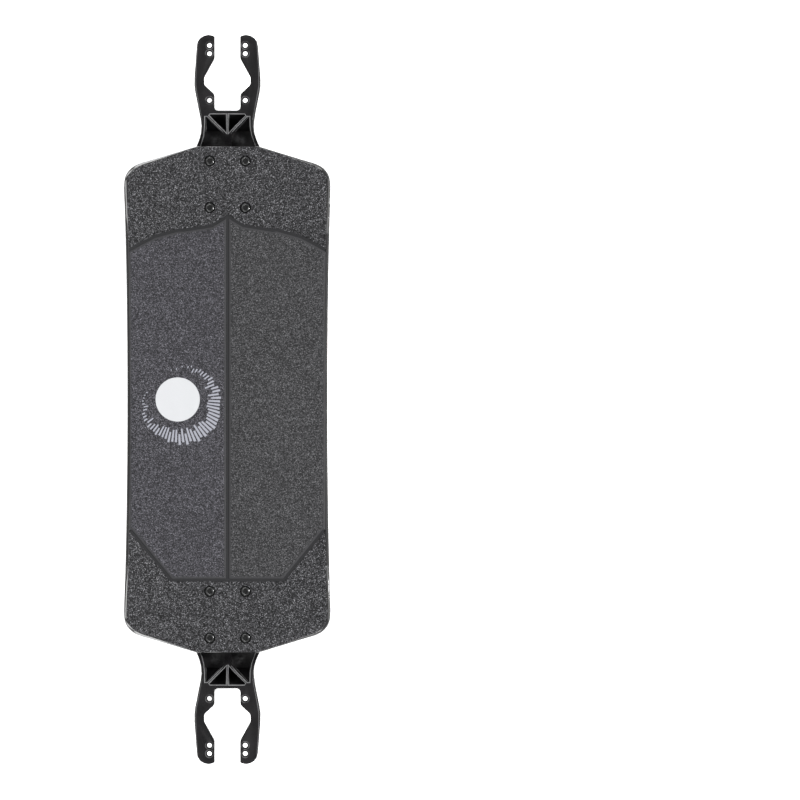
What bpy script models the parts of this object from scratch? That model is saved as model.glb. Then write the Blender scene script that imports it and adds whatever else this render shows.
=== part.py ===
"""Longboard deck with a forked drop-through truck bracket bolted under each end.

Metres, +Z up, +Y towards the front of the board. The origin is the middle of the board on the
surface that it lies on, which touches only the flat undersides of the two brackets.
"""
import math

import bmesh
import bpy
from mathutils import Matrix, Vector

MM = 0.001
SEAT_GAP = 0.3 * MM            # clearance left between two pieces that touch
BOARD = "longboard"
WELD = 0.01 * MM               # points closer than this become one
BELOW_ALL = -5 * MM            # cutters that run right through start and end out here
ABOVE_ALL = 60 * MM
BESIDE_ALL = 60 * MM

# Deck plan, measured from the middle of the board
DECK_HALF_LENGTH = 293.5 * MM
WAIST_HALF_WIDTH = 115.5 * MM
SHOULDER_SWELL = 3.6 * MM      # how much wider the deck is at the shoulders than at the waist
SHOULDER_Y = 235 * MM
SWELL_POWER = 2.2
SIDE_END_Y = 267 * MM          # where the side line would meet the sloped end edge
FLAT_END_HALF_WIDTH = 34.5 * MM
SHOULDER_RADIUS = 24 * MM
END_CORNER_RADIUS = 14 * MM
SIDE_POINTS_Y = (0, 60, 115, 160, 195, 210, 224)      # mm along the curved side line
END_EDGE_POINTS = (0.28, 0.4, 0.52, 0.64, 0.78)       # shares of the sloped end edge

# Concave: flat over the brackets, then rising to the rails, with a flared facet at each corner
FLAT_HALF_WIDTH = 44 * MM
RAIL_RISE = 9.5 * MM
CONCAVE_POWER = 1.8
CREASE_END = Vector((54 * MM, 280 * MM))
CREASE_SIDE = Vector((112 * MM, 210 * MM))
FLARE_SLOPE = 0.11
CREASE_SOFTNESS = 4 * MM
RISE_LINES = [x * MM for x in (44, 57, 70, 83, 96, 106)]     # where the sheets bend

# Layers of the deck, heights at its flat middle
DECK_BOTTOM_Z = 14.0 * MM
LAMINATE_THICKNESS = 1.2 * MM
CORE_THICKNESS = 7.8 * MM
END_GRIP_THICKNESS = 1.0 * MM
PAD_THICKNESS = 2.0 * MM
PAD_EDGE_BEVEL = 1.4 * MM
RAIL_WIDTH = 5.0 * MM
RAIL_LOWER = ((4.2, 0), (0.3, 3.3))                   # mm in from the outline, mm above its foot
RAIL_SIDE_UPPER = ((0, 3.4), (0.9, 1.4), (3.6, 0))    # mm in from the outline, mm below its top
RAIL_END_UPPER = ((0, 2.2), (0.4, 0.8), (1.3, 0))     # the slope narrows towards the deck's ends
RAIL_NARROWS_Y = (268 * MM, 285 * MM)
GRIP_SIDE_MARGIN = 3.7 * MM    # the grips lap over the flat inner part of the edge rail
GRIP_END_MARGIN = 1.4 * MM
CORE_BOTTOM_Z = DECK_BOTTOM_Z + LAMINATE_THICKNESS + SEAT_GAP
TOP_LAMINATE_Z = CORE_BOTTOM_Z + CORE_THICKNESS + SEAT_GAP
DECK_TOP_Z = TOP_LAMINATE_Z + LAMINATE_THICKNESS
GRIP_Z = DECK_TOP_Z + SEAT_GAP

# Grip seams, right half, from the middle of the board outwards
SEAM_WIDTH = 3.4 * MM
SHEET_CUT_Y = 330 * MM         # beyond both ends of the deck
FRONT_SEAM = ((0, 212), (18, 201), (52, 195.6), (57, 196), (84.5, 188.2), (101.5, 179.3),
              (140, 157))
REAR_SEAM = ((0, -208.8), (65, -208.8), (111, -152), (140, -152))

# Bracket plan, right half of the front bracket
LUG_X = 20.65 * MM             # the 41.3 mm hole spacing across, halved
MAIN_BOLT_Y = 276 * MM
LUG_Y = 222 * MM               # 54 mm behind the main bolts
LUG_RADIUS = 12.5 * MM
LUG_START_ANGLE = math.radians(125)
LUG_END_ANGLE = math.radians(410)
TRUCK_HOLE_ROWS = (345.5 * MM, 399.5 * MM, 409 * MM)
TRUCK_HOLE_RADIUS = 2.85 * MM
TRUCK_COUNTERBORE_RADIUS = 4.6 * MM
TRUCK_COUNTERBORE_DEPTH = 0.6 * MM
LEG_GAP_CORNERS = ((0, 262, 0), (10, 262, 4), (13.6, 237, 6))
NECK_CORNERS = ((29.2, 236, 5), (43.8, 276.5, 13), (28.4, 312, 34), (38.7, 363, 60), (34.4, 421, 13.5),
                (20, 421, 8), (14.9, 419.2, 0.9))
FORK_GAP_CORNERS = ((14.9, 393.5, 8), (26.8, 372, 5), (26.8, 363.5, 5), (15.1, 352.5, 5),
                    (15.1, 333.5, 4.5), (0, 333.5, 0))

# Bracket side profile: heights in mm, then corners (distance along the board, height, fillet radius)
FORK_TOP, FORK_RIM, BRACKET_TOP, LUG_BOTTOM = 34, 23, 13.7, 4.8
SIDE_PROFILE = ((430, FORK_TOP, 0), (315, FORK_TOP, 9), (297.5, BRACKET_TOP, 5), (200, BRACKET_TOP, 0),
                (200, LUG_BOTTOM, 0), (237, LUG_BOTTOM, 14), (256, 0, 20), (314.5, 0, 4),
                (333.6, FORK_RIM, 7), (430, FORK_RIM, 0))
BRACKET_EDGE_BEVEL = 0.8 * MM
BEVELLED_FROM = math.radians(50)
FORK_CHAMFER = 1.6 * MM        # along the prongs' outer top edges only
FORK_CHAMFER_MIN_X = 27 * MM
FORK_CHAMFER_FADE_Y = (413 * MM, 404 * MM)    # it dies out towards the tips
BLANK_TOP = 36 * MM

# Hollow underside of the fork: thicker pads round the truck holes, thinner prongs between them
RIM_WIDTH = 3.5 * MM
RECESS_START_DROP = 7 * MM     # the cutters start this far below the fork's rim
FORK_RECESS_START_Y = 338 * MM
FORK_ROOT_HALF_WIDTH = 33.2 * MM
HOLE_PAD_Z = 26.8 * MM
PRONG_FLOOR_Z = 28.4 * MM
PRONG_STEP = 1.1 * MM          # the deeper part stays this far inside the pads' outline
PRONG_BAND = ((0, 353), (60, 353), (60, 388), (33, 389.5), (15, 393.5), (0, 393.5))
ROOT_POCKET = ((16.8, 329.6), (29.4, 329.6), (29.8, 333.6), (16.8, 333.6))
ROOT_POCKET_Z = 24.2 * MM

# Truss pocket in the neck, plan points of its right cells on the middles of the 2.6 mm ribs.
# The ribs meet in a thick spine that runs back to the end of the deck.
RIB_WIDTH = 2.6 * MM
POCKET_APEX = (0, 305.4)
POCKET_REAR = 287
POCKET_PROFILE = ((330, 40), (330, 27), (311.5, 3.2), (286, 3.2), (286, 40))
POCKET_CELLS = (
    ((0, 330.6), POCKET_APEX, (22.6, 327.7), (20.4, 330.6)),
    ((22.6, 327.7), (2.7, 308), (2.7, POCKET_REAR), (31.5, POCKET_REAR), (33.4, POCKET_REAR + 5),
     (28.6, 306), (27.2, 315), (27, 327.7)),
)

# Marks left by the mould on the underside
PIN_MARK_Y = 297 * MM
PIN_MARK_RADII = (2.35 * MM, 4.85 * MM)
PANEL_SIZE = (16 * MM, 11.5 * MM)
PANEL_Y = 274.4 * MM
MARK_DEPTH = 0.5 * MM

# Fasteners: M6 throughout
THREAD_RADIUS = 3.0 * MM
CLEARANCE_RADIUS = 3.3 * MM
MAIN_COUNTERBORE_RADIUS = 8.5 * MM
MAIN_COUNTERBORE_Z = 9.5 * MM
LUG_COUNTERBORE_RADIUS = 7.5 * MM
LUG_COUNTERBORE_Z = 10.2 * MM
MAIN_HEAD = (5.0 * MM, 6.0 * MM)      # radius, height
LUG_HEAD = (4.75 * MM, 3.3 * MM)
LUG_HEAD_DOME = ((1.0, 0.9), (0.93, 2.0), (0.74, 2.9), (0.5, 3.3))     # share of radius, mm of height
HEAD_CHAMFER = 0.5 * MM
TIP_CHAMFER = 0.6 * MM
MAIN_WASHER = (6.5 * MM, 1.2 * MM)
LUG_WASHER = (6.0 * MM, 1.0 * MM)
MAIN_SOCKET = (2.5 * MM, 3.0 * MM)    # half the width across flats, depth
LUG_SOCKET = (2.0 * MM, 1.9 * MM)
NUT_FLANGE_RADIUS = 6.2 * MM
NUT_CROWN = 2.1 * MM                  # height of its domed head over the flange's seat
NUT_DOME = ((0.45, 0), (0.75, 0.7), (1.0, 1.6))       # share of radius, mm below the crown
NUT_SHANK_RADIUS = 4.3 * MM
NUT_SOCKET = (1.8 * MM, 2.2 * MM)
NUT_BOTTOM_Z = CORE_BOTTOM_Z + SEAT_GAP
NUT_BORE_TOP_Z = TOP_LAMINATE_Z - 1.0 * MM
BOLT_TIP_Z = NUT_BORE_TOP_Z - 0.6 * MM

ROUND_STEPS = 16
FASTENER_STEPS = 12
ARC_STEP = math.radians(22.5)  # an arc's facets turn no more than this
ARC_LENGTH = 9 * MM            # and are no longer than this


# Set-up

def clear_scene():
    for obj in list(bpy.data.objects):
        bpy.data.objects.remove(obj, do_unlink=True)


def make_collection(name):
    collection = bpy.data.collections.new(name)
    bpy.context.scene.collection.children.link(collection)
    return collection


clear_scene()
PARTS = make_collection(BOARD)
CUTTERS = make_collection(BOARD + "_cutters")


def material(name, colour, roughness, metallic=0.0):
    mat = bpy.data.materials.new(name)
    mat.use_nodes = True
    shader = mat.node_tree.nodes["Principled BSDF"]
    shader.inputs["Base Color"].default_value = (*colour, 1.0)
    shader.inputs["Roughness"].default_value = roughness
    shader.inputs["Metallic"].default_value = metallic
    return mat


def add_object(name, mesh, collection=PARTS, mat=None):
    obj = bpy.data.objects.new(name, mesh)
    collection.objects.link(obj)
    if mat is not None and not mesh.materials:
        mesh.materials.append(mat)
    if collection is CUTTERS:
        obj.hide_render = True
        obj.display_type = "WIRE"
    return obj


def mesh_from(bm, name):
    bmesh.ops.recalc_face_normals(bm, faces=bm.faces[:])
    mesh = bpy.data.meshes.new(name)
    bm.to_mesh(mesh)
    bm.free()
    return mesh


def shade_round(mesh):
    mesh.shade_smooth()
    mesh.set_sharp_from_angle(angle=math.radians(35))


def boolean(obj, operation, cutter):
    cut = obj.modifiers.new(operation.lower() + "_" + cutter.name, "BOOLEAN")
    cut.operation = operation
    cut.solver = "EXACT"
    cut.object = cutter


def evaluated_mesh(obj):
    depsgraph = bpy.context.evaluated_depsgraph_get()
    return bpy.data.meshes.new_from_object(obj.evaluated_get(depsgraph))


# Outlines

def in_mm(points):
    return [Vector(point[:2]) * MM for point in points]


def mirrored(half):
    """A whole outline from its right half, which starts and ends on the middle line."""
    return half + [Vector((-p.x, p.y)) for p in reversed(half[1:-1])]


def rounded_path(corners):
    """Points along a path in mm whose corners (x, y, radius) are rounded by tangent arcs."""
    points = []
    for i, (x, y, radius) in enumerate(corners):
        corner = Vector((x, y))
        if radius == 0:
            points.append(corner * MM)
            continue
        back = (Vector(corners[i - 1][:2]) - corner).normalized()
        ahead = (Vector(corners[(i + 1) % len(corners)][:2]) - corner).normalized()
        angle = back.angle(ahead)
        centre = corner + (back + ahead).normalized() * radius / math.sin(angle / 2)
        start = corner + back * radius / math.tan(angle / 2) - centre
        turn = math.copysign(math.pi - angle, ahead.x * back.y - ahead.y * back.x)
        steps = math.ceil(max(abs(turn) / ARC_STEP, abs(turn) * radius * MM / ARC_LENGTH))
        for k in range(steps + 1):
            points.append((centre + Matrix.Rotation(turn * k / steps, 2) @ start) * MM)
    return points


def arc(centre, radius, start, end):
    steps = math.ceil(abs(end - start) / ARC_STEP)
    angles = [start + (end - start) * k / steps for k in range(steps + 1)]
    return [centre + radius * Vector((math.cos(a), math.sin(a))) for a in angles]


def inset(outline, distance):
    """The same closed anticlockwise outline moved inwards, point for point, by one distance or by one
    for each point."""
    distances = distance if isinstance(distance, list) else [distance] * len(outline)
    moved = []
    for i, point in enumerate(outline):
        back = (point - outline[i - 1]).normalized()
        ahead = (outline[(i + 1) % len(outline)] - point).normalized()
        normal = Vector((-back.y - ahead.y, back.x + ahead.x)).normalized()
        across = normal.dot(Vector((-ahead.y, ahead.x)))
        moved.append(point + normal * distances[i] / across)
    return moved


def anticlockwise(outline):
    area = sum(a.x * b.y - b.x * a.y for a, b in zip(outline, outline[1:] + outline[:1]))
    return outline if area > 0 else outline[::-1]


# Solids from outlines

def prism(name, outlines, low, high, along="Z"):
    """Extrude closed outlines between two heights along Z, or (y, z) outlines along X."""
    bm = bmesh.new()
    for outline in outlines:
        if along == "Z":
            verts = [bm.verts.new((p.x, p.y, low)) for p in outline]
        else:
            verts = [bm.verts.new((low, p.x, p.y)) for p in outline]
        face = bm.faces.new(verts)
        lifted = bmesh.ops.extrude_face_region(bm, geom=[face])["geom"]
        top = [item for item in lifted if isinstance(item, bmesh.types.BMVert)]
        step = Vector((0, 0, high - low)) if along == "Z" else Vector((high - low, 0, 0))
        bmesh.ops.translate(bm, vec=step, verts=top)
    return mesh_from(bm, name)


def drills(name, places, radius, low, high, steps=ROUND_STEPS):
    """One cutter holding a plain cylinder at each place."""
    bm = bmesh.new()
    for x, y in places:
        centre = Matrix.Translation((x, y, (low + high) / 2))
        bmesh.ops.create_cone(bm, cap_ends=True, segments=steps, radius1=radius, radius2=radius,
                              depth=high - low, matrix=centre)
    return add_object(name, mesh_from(bm, name), CUTTERS)


def turned(name, profile, steps=FASTENER_STEPS):
    """The mesh of a closed (radius, height) profile revolved about Z by a Screw modifier."""
    bm = bmesh.new()
    verts = [bm.verts.new((radius, 0, height)) for radius, height in profile]
    for a, b in zip(verts, verts[1:] + verts[:1]):
        if a.co.x > 0 or b.co.x > 0:
            bm.edges.new((a, b))
    outline = bpy.data.meshes.new(name)
    bm.to_mesh(outline)
    bm.free()
    obj = add_object(name, outline)
    screw = obj.modifiers.new("turn", "SCREW")
    screw.steps = screw.render_steps = steps
    screw.use_merge_vertices = True
    screw.merge_threshold = WELD
    solid = bmesh.new()
    solid.from_mesh(evaluated_mesh(obj))
    bpy.data.objects.remove(obj)
    return mesh_from(solid, name)


# Deck

def half_width(y):
    return WAIST_HALF_WIDTH + SHOULDER_SWELL * (abs(y) / SHOULDER_Y) ** SWELL_POWER


def rise(x, y):
    """Height of the deck's curved surface above its flat middle."""
    out = max(0.0, abs(x) - FLAT_HALF_WIDTH) / (WAIST_HALF_WIDTH - FLAT_HALF_WIDTH)
    crease = CREASE_SIDE - CREASE_END
    outward = Vector((-crease.y, crease.x)).normalized()
    past = (Vector((abs(x), abs(y))) - CREASE_END).dot(outward)
    if past <= -CREASE_SOFTNESS:
        bent = 0.0
    elif past < CREASE_SOFTNESS:
        bent = (past + CREASE_SOFTNESS) ** 2 / (4 * CREASE_SOFTNESS)
    else:
        bent = past
    return RAIL_RISE * out ** CONCAVE_POWER + FLARE_SLOPE * bent


def deck_outline():
    """Anticlockwise plan of the deck, from the middle of its right side."""
    corners = [(half_width(y * MM) / MM, y, 0) for y in SIDE_POINTS_Y]
    shoulder_x = half_width(SIDE_END_Y) / MM
    flat_x, end_y = FLAT_END_HALF_WIDTH / MM, DECK_HALF_LENGTH / MM
    corners.append((shoulder_x, SIDE_END_Y / MM, SHOULDER_RADIUS / MM))
    for part in END_EDGE_POINTS:
        corners.append((shoulder_x + (flat_x - shoulder_x) * part,
                        SIDE_END_Y / MM + (end_y - SIDE_END_Y / MM) * part, 0))
    corners.append((flat_x, end_y, END_CORNER_RADIUS / MM))
    corners.append((0, end_y, 0))
    front_right = rounded_path(corners)
    front_left = [Vector((-p.x, p.y)) for p in reversed(front_right[:-1])]
    front = front_right + front_left
    return front + [-p for p in front[1:-1]]


def bend_lines():
    """Plan lines (point, normal) along which a sheet bends: the concave's steps and the creases."""
    lines = [((side * x, 0, 0), (1, 0, 0)) for x in RISE_LINES for side in (1, -1)]
    crease = CREASE_SIDE - CREASE_END
    outward = Vector((-crease.y, crease.x)).normalized()
    for shift in (-CREASE_SOFTNESS, CREASE_SOFTNESS):
        place = CREASE_END + outward * shift
        for sx in (1, -1):
            for sy in (1, -1):
                lines.append(((sx * place.x, sy * place.y, 0), (sx * outward.x, sy * outward.y, 0)))
    return lines


def curved_sheet(name, outline, bottom_z, thickness, edge_bevel=0.0):
    """A sheet of even thickness that follows the deck's concave, with a bevel round its upper side."""
    bm = bmesh.new()
    bm.faces.new([bm.verts.new((p.x, p.y, 0)) for p in outline])
    for place, normal in bend_lines():
        bmesh.ops.bisect_plane(bm, geom=bm.verts[:] + bm.edges[:] + bm.faces[:], dist=WELD,
                               plane_co=place, plane_no=normal)
    bmesh.ops.remove_doubles(bm, verts=bm.verts[:], dist=WELD)
    bmesh.ops.triangulate(bm, faces=bm.faces[:])
    lifted = bmesh.ops.extrude_face_region(bm, geom=bm.faces[:])["geom"]
    top = [item for item in lifted if isinstance(item, bmesh.types.BMVert)]
    bmesh.ops.translate(bm, vec=(0, 0, thickness), verts=top)
    if edge_bevel:
        upper = [item for item in lifted if isinstance(item, bmesh.types.BMFace)]
        bmesh.ops.inset_region(bm, faces=upper, thickness=edge_bevel, use_even_offset=True)
        rim = {end for edge in bm.edges if edge.verts[0].co.z != edge.verts[1].co.z
               for end in edge.verts if end.co.z > 0}
        bmesh.ops.translate(bm, vec=(0, 0, -edge_bevel), verts=list(rim))
    for vert in bm.verts:
        vert.co.z += bottom_z + rise(vert.co.x, vert.co.y)
    return mesh_from(bm, name)


def clipped(outline, region):
    """The plan outline of what two flat outlines share."""
    sheet = add_object("clip_sheet", prism("clip_sheet", [outline], 0, 2 * MM), CUTTERS)
    window = add_object("clip_window", prism("clip_window", [region], -1 * MM, 1 * MM), CUTTERS)
    boolean(sheet, "INTERSECT", window)
    mesh = evaluated_mesh(sheet)
    bpy.data.objects.remove(sheet)
    bpy.data.objects.remove(window)
    floor = min(mesh.polygons, key=lambda face: face.normal.z)
    return anticlockwise([mesh.vertices[i].co.xy.copy() for i in floor.vertices])


def bolt_places(x, ys):
    return [(sx * x, sy * y) for sy in (1, -1) for y in ys for sx in (1, -1)]


def make_deck():
    outline = deck_outline()
    inner = inset(outline, RAIL_WIDTH + SEAT_GAP)
    places = bolt_places(LUG_X, (MAIN_BOLT_Y, LUG_Y))
    flange_holes = drills("flange_holes", places, NUT_FLANGE_RADIUS + SEAT_GAP,
                          TOP_LAMINATE_Z - SEAT_GAP / 2, ABOVE_ALL)
    shank_holes = drills("shank_holes", places, NUT_SHANK_RADIUS + SEAT_GAP, CORE_BOTTOM_Z - SEAT_GAP / 2,
                         CORE_BOTTOM_Z + CORE_THICKNESS + SEAT_GAP / 2, FASTENER_STEPS)
    bolt_holes = drills("bolt_holes", places, CLEARANCE_RADIUS, BELOW_ALL,
                        CORE_BOTTOM_Z - SEAT_GAP / 2, FASTENER_STEPS)

    bamboo = material("bamboo_core", (0.48, 0.33, 0.17), 0.6)
    laminate = material("black_laminate", (0.035, 0.035, 0.034), 0.32)
    core = add_object("deck_core", curved_sheet("deck_core", inner, CORE_BOTTOM_Z, CORE_THICKNESS),
                      mat=bamboo)
    boolean(core, "DIFFERENCE", shank_holes)
    bottom = add_object("bottom_laminate", curved_sheet("bottom_laminate", inner, DECK_BOTTOM_Z,
                                                        LAMINATE_THICKNESS), mat=laminate)
    boolean(bottom, "DIFFERENCE", bolt_holes)
    top = add_object("top_laminate", curved_sheet("top_laminate", inner, TOP_LAMINATE_Z,
                                                  LAMINATE_THICKNESS),
                     mat=material("black_top_laminate", (0.02, 0.02, 0.02), 0.4))
    boolean(top, "DIFFERENCE", flange_holes)
    make_edge_rail(outline)
    margins = [blend(GRIP_SIDE_MARGIN, GRIP_END_MARGIN, end_share(point)) for point in outline]
    make_grip(inset(outline, margins), flange_holes)


def blend(first, second, share):
    return first + (second - first) * share


def end_share(point):
    """0 along the deck's sides, rising to 1 at its flat ends."""
    start, full = RAIL_NARROWS_Y
    return min(1.0, max(0.0, (abs(point.y) - start) / (full - start)))


def rail_section(share):
    """The edge band's corners: how far in from the outline and how far above its foot."""
    height = DECK_TOP_Z - DECK_BOTTOM_Z
    upper = [(blend(side_in, end_in, share) * MM, height - blend(side_down, end_down, share) * MM)
             for (side_in, side_down), (end_in, end_down) in zip(RAIL_SIDE_UPPER, RAIL_END_UPPER)]
    return [(RAIL_WIDTH, 0), *((into * MM, up * MM) for into, up in RAIL_LOWER), *upper,
            (RAIL_WIDTH, height)]


def make_edge_rail(outline):
    """The moulded edge band: a ring lofted through copies of the deck outline moved inwards."""
    corners = zip(*(rail_section(end_share(point)) for point in outline))
    bm = bmesh.new()
    loops = []
    for corner in corners:
        ring = [bm.verts.new((p.x, p.y, DECK_BOTTOM_Z + level + rise(p.x, p.y)))
                for p, (_, level) in zip(inset(outline, [into for into, _ in corner]), corner)]
        loops.append([bm.edges.new((a, b)) for a, b in zip(ring, ring[1:] + ring[:1])])
    for below, above in zip(loops, loops[1:] + loops[:1]):
        bmesh.ops.bridge_loops(bm, edges=below + above)
    mesh = mesh_from(bm, "edge_rail")
    shade_round(mesh)
    add_object("edge_rail", mesh, mat=material("gloss_black_edge", (0.02, 0.02, 0.02), 0.18))


def make_grip(outline, holes):
    """Grit sheets over both ends and a pad on each side, parted by narrow open seams."""
    front_right, rear_right = in_mm(FRONT_SEAM), in_mm(REAR_SEAM)
    front_left = [Vector((-p.x, p.y)) for p in front_right]
    rear_left = [Vector((-p.x, p.y)) for p in rear_right]
    far = SHEET_CUT_Y
    edge = front_right[-1].x
    regions = {
        "front_grip": front_left[::-1] + front_right[1:] + [Vector((edge, far)), Vector((-edge, far))],
        "rear_grip": rear_left[::-1] + rear_right[1:] + [Vector((edge, -far)), Vector((-edge, -far))],
        "left_grip_pad": front_left + rear_left[::-1],
        "right_grip_pad": front_right + rear_right[::-1],
    }
    coarse = material("coarse_grit", (0.075, 0.075, 0.078), 0.9)
    fine = material("fine_grit", (0.07, 0.07, 0.076), 0.85)
    for name, region in regions.items():
        panel = clipped(outline, inset(anticlockwise(region), SEAM_WIDTH / 2))
        if name.endswith("pad"):
            sheet = curved_sheet(name, panel, GRIP_Z, PAD_THICKNESS, PAD_EDGE_BEVEL)
            add_object(name, sheet, mat=fine)
        else:
            sheet = curved_sheet(name, panel, GRIP_Z, END_GRIP_THICKNESS)
            boolean(add_object(name, sheet, mat=coarse), "DIFFERENCE", holes)


# Brackets

def bracket_outline():
    """Plan of the front bracket: two lugs at the back, two prongs at the front."""
    lug = arc(Vector((LUG_X, LUG_Y)), LUG_RADIUS, LUG_START_ANGLE, LUG_END_ANGLE)
    lug_in, lug_out = lug[0] / MM, lug[-1] / MM
    before = rounded_path((*LEG_GAP_CORNERS, (lug_in.x, lug_in.y, 0)))
    after = rounded_path(((lug_out.x, lug_out.y, 0), *NECK_CORNERS, *FORK_GAP_CORNERS))
    return mirrored(before[:-1] + lug + after[1:])


def fork_recess_outline():
    """The fork's outer edge moved in by the rim's width, closed straight across the gap."""
    start = Vector((FORK_ROOT_HALF_WIDTH, FORK_RECESS_START_Y - RIM_WIDTH))
    tip = (0, NECK_CORNERS[-1][1], 0)
    edge = [p for p in rounded_path((*NECK_CORNERS[:-1], tip)) if p.y > start.y]
    return inset(mirrored([Vector((0, start.y)), start] + edge), RIM_WIDTH)


def bracket_blank(outline):
    """The plan outline as a block whose outer walls lean in along the prongs' chamfer."""
    edge_z = FORK_TOP * MM - FORK_CHAMFER
    none_y, full_y = FORK_CHAMFER_FADE_Y
    shares = [min(1.0, max(0.0, (none_y - p.y) / (none_y - full_y))) if abs(p.x) > FORK_CHAMFER_MIN_X
              else 0.0 for p in outline]
    leaning = inset(outline, BLANK_TOP - edge_z)
    upper = [p.lerp(leant, share) for p, leant, share in zip(outline, leaning, shares)]
    bm = bmesh.new()
    bottom, edge, top = ([bm.verts.new((p.x, p.y, z)) for p in ring]
                         for ring, z in ((outline, BELOW_ALL), (outline, edge_z), (upper, BLANK_TOP)))
    bm.faces.new(bottom)
    bm.faces.new(top)
    for i, corner in enumerate(edge):
        bm.faces.new((bottom[i - 1], bottom[i], corner, edge[i - 1]))
        steep, lean = (i - 1, i) if shares[i] > shares[i - 1] else (i, i - 1)
        bm.faces.new((edge[steep], edge[lean], top[steep]))
        bm.faces.new((edge[lean], top[lean], top[steep]))
    return mesh_from(bm, "front_bracket")


def make_front_bracket():
    bracket = add_object("front_bracket", bracket_blank(bracket_outline()),
                         mat=material("black_cast_alloy", (0.06, 0.06, 0.063), 0.45, 0.3))
    profile = prism("bracket_side_profile", [rounded_path(SIDE_PROFILE)], -BESIDE_ALL, BESIDE_ALL,
                    along="X")
    boolean(bracket, "INTERSECT", add_object("bracket_side_profile", profile, CUTTERS))
    edges = bracket.modifiers.new("cast_edges", "BEVEL")
    edges.width = BRACKET_EDGE_BEVEL
    edges.segments = 1
    edges.limit_method = "ANGLE"
    edges.angle_limit = BEVELLED_FROM

    for recess in make_fork_recesses():
        boolean(bracket, "DIFFERENCE", recess)
    boolean(bracket, "DIFFERENCE", make_pocket_cells())
    places = [(sx * LUG_X, y) for y in TRUCK_HOLE_ROWS for sx in (1, -1)]
    boolean(bracket, "DIFFERENCE", drills("truck_holes", places, TRUCK_HOLE_RADIUS, BELOW_ALL,
                                          ABOVE_ALL, FASTENER_STEPS))
    boolean(bracket, "DIFFERENCE", drills("truck_counterbores", places, TRUCK_COUNTERBORE_RADIUS,
                                          FORK_TOP * MM - TRUCK_COUNTERBORE_DEPTH, ABOVE_ALL))
    main = [(sx * LUG_X, MAIN_BOLT_Y) for sx in (1, -1)]
    lugs = [(sx * LUG_X, LUG_Y) for sx in (1, -1)]
    boolean(bracket, "DIFFERENCE", drills("main_counterbores", main, MAIN_COUNTERBORE_RADIUS,
                                          BELOW_ALL, MAIN_COUNTERBORE_Z))
    boolean(bracket, "DIFFERENCE", drills("lug_counterbores", lugs, LUG_COUNTERBORE_RADIUS,
                                          BELOW_ALL, LUG_COUNTERBORE_Z))
    boolean(bracket, "DIFFERENCE", drills("bracket_bolt_holes", main + lugs, CLEARANCE_RADIUS,
                                          BELOW_ALL, ABOVE_ALL, FASTENER_STEPS))
    boolean(bracket, "DIFFERENCE", make_underside_marks())
    return bracket


def make_fork_recesses():
    """Cutters for the fork's underside: shallow over the hole pads, deeper along the prongs, and a
    small pocket that leaves a cross rib at each prong's root."""
    outline = fork_recess_outline()
    low = FORK_RIM * MM - RECESS_START_DROP
    pads = add_object("hole_pad_recess", prism("hole_pad_recess", [outline], low, HOLE_PAD_Z), CUTTERS)
    prongs = add_object("prong_recess", prism("prong_recess", [inset(outline, PRONG_STEP)], low,
                                              PRONG_FLOOR_Z), CUTTERS)
    band = prism("prong_band", [mirrored(in_mm(PRONG_BAND))], BELOW_ALL, ABOVE_ALL)
    boolean(prongs, "INTERSECT", add_object("prong_band", band, CUTTERS))
    root = in_mm(ROOT_POCKET)
    roots = prism("root_pockets", [root, [Vector((-p.x, p.y)) for p in root]], low - RECESS_START_DROP,
                  ROOT_POCKET_Z)
    return pads, prongs, add_object("root_pockets", roots, CUTTERS)


def make_pocket_cells():
    """The open cells between the neck's ribs, with a floor that follows the neck's underside."""
    cells = []
    for cell in POCKET_CELLS:
        right = in_mm(cell)
        cells += [right, [Vector((-p.x, p.y)) for p in right]]
    plans = [inset(anticlockwise(cell), RIB_WIDTH / 2) for cell in cells]
    pocket = add_object("pocket_cells", prism("pocket_cells", plans, BELOW_ALL, ABOVE_ALL), CUTTERS)
    block = prism("pocket_profile", [in_mm(POCKET_PROFILE)], -BESIDE_ALL, BESIDE_ALL, along="X")
    boolean(pocket, "INTERSECT", add_object("pocket_profile", block, CUTTERS))
    return pocket


def make_underside_marks():
    """A ring left by an ejector pin and a plain shallow panel between the main bolts."""
    inner_radius, outer_radius = PIN_MARK_RADII
    depth = MARK_DEPTH
    ring = turned("pin_mark", ((outer_radius, depth), (outer_radius, BELOW_ALL),
                               (inner_radius, BELOW_ALL), (inner_radius, depth)))
    half_x, half_y = PANEL_SIZE[0] / 2, PANEL_SIZE[1] / 2
    bm = bmesh.new()
    bm.from_mesh(ring)
    bmesh.ops.translate(bm, vec=(0, PIN_MARK_Y, 0), verts=bm.verts[:])
    panel = Matrix.Translation((0, PANEL_Y, 0)) @ Matrix.Diagonal((half_x, half_y, depth, 1))
    bmesh.ops.create_cube(bm, size=2, matrix=panel)
    return add_object("underside_marks", mesh_from(bm, "underside_marks"), CUTTERS)


# Fasteners

def with_socket(name, profile, socket, face_z, mat):
    """A turned fastener with a hexagon socket sunk into its head at face_z."""
    body = add_object(name, turned(name, profile))
    across, depth = socket
    hexagon = bmesh.new()
    bmesh.ops.create_cone(hexagon, cap_ends=True, segments=6, depth=2 * depth,
                          radius1=across / math.cos(math.pi / 6), radius2=across / math.cos(math.pi / 6),
                          matrix=Matrix.Translation((0, 0, face_z)))
    key = add_object(name + "_key", mesh_from(hexagon, name + "_key"), CUTTERS)
    boolean(body, "DIFFERENCE", key)
    mesh = evaluated_mesh(body)
    bpy.data.objects.remove(body)
    bpy.data.objects.remove(key)
    return finished(mesh, mat)


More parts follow.
